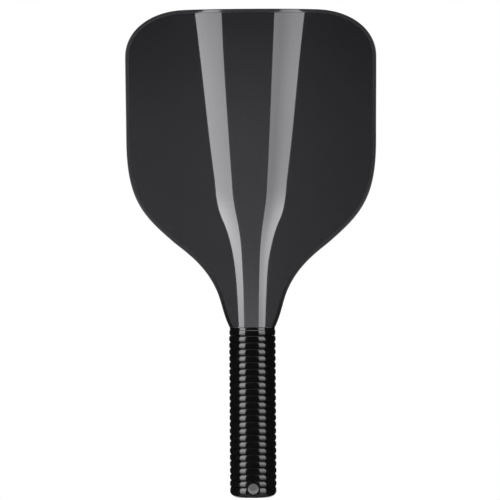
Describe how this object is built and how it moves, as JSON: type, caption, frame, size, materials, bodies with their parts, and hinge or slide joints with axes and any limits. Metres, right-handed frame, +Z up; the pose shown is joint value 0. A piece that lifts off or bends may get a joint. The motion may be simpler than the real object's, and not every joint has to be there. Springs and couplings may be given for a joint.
{
  "type": "pickleball paddle",
  "caption": "Gloss charcoal pickleball paddle: honeycomb sandwich blade with a flush rounded edge guard, flowing into a black ring-ribbed handle with a cord hole in the butt.",
  "frame": {"origin": "Centre of the flat bottom of the butt cap, on the handle's middle plane", "axes": "+Z runs up the handle to the top of the blade, +X across the blade to the right as seen from the front, and the front face looks along -Y"},
  "size_m": [0.203, 0.0314, 0.3945],
  "materials": {
    "core": "natural milky polypropylene honeycomb",
    "face": "charcoal composite sheet under a clear gloss coat",
    "guard": "satin black-charcoal moulding",
    "handle_body": "rigid moulded foam, dull",
    "grip": "glossy black moulded rubber",
    "trim": "glossy black plastic",
    "bush": "smooth black plastic"
  },
  "bodies": {
    "root": {"honeycomb_core": "core", "front_face_sheet": "face", "rear_face_sheet": "face", "edge_guard": "guard", "handle_half_front": "handle_body", "handle_half_rear": "handle_body", "grip_sleeve": "grip", "throat_collar": "trim", "butt_cap": "trim", "cord_bush_front": "bush", "cord_bush_rear": "bush"}
  },
  "joints": []
}
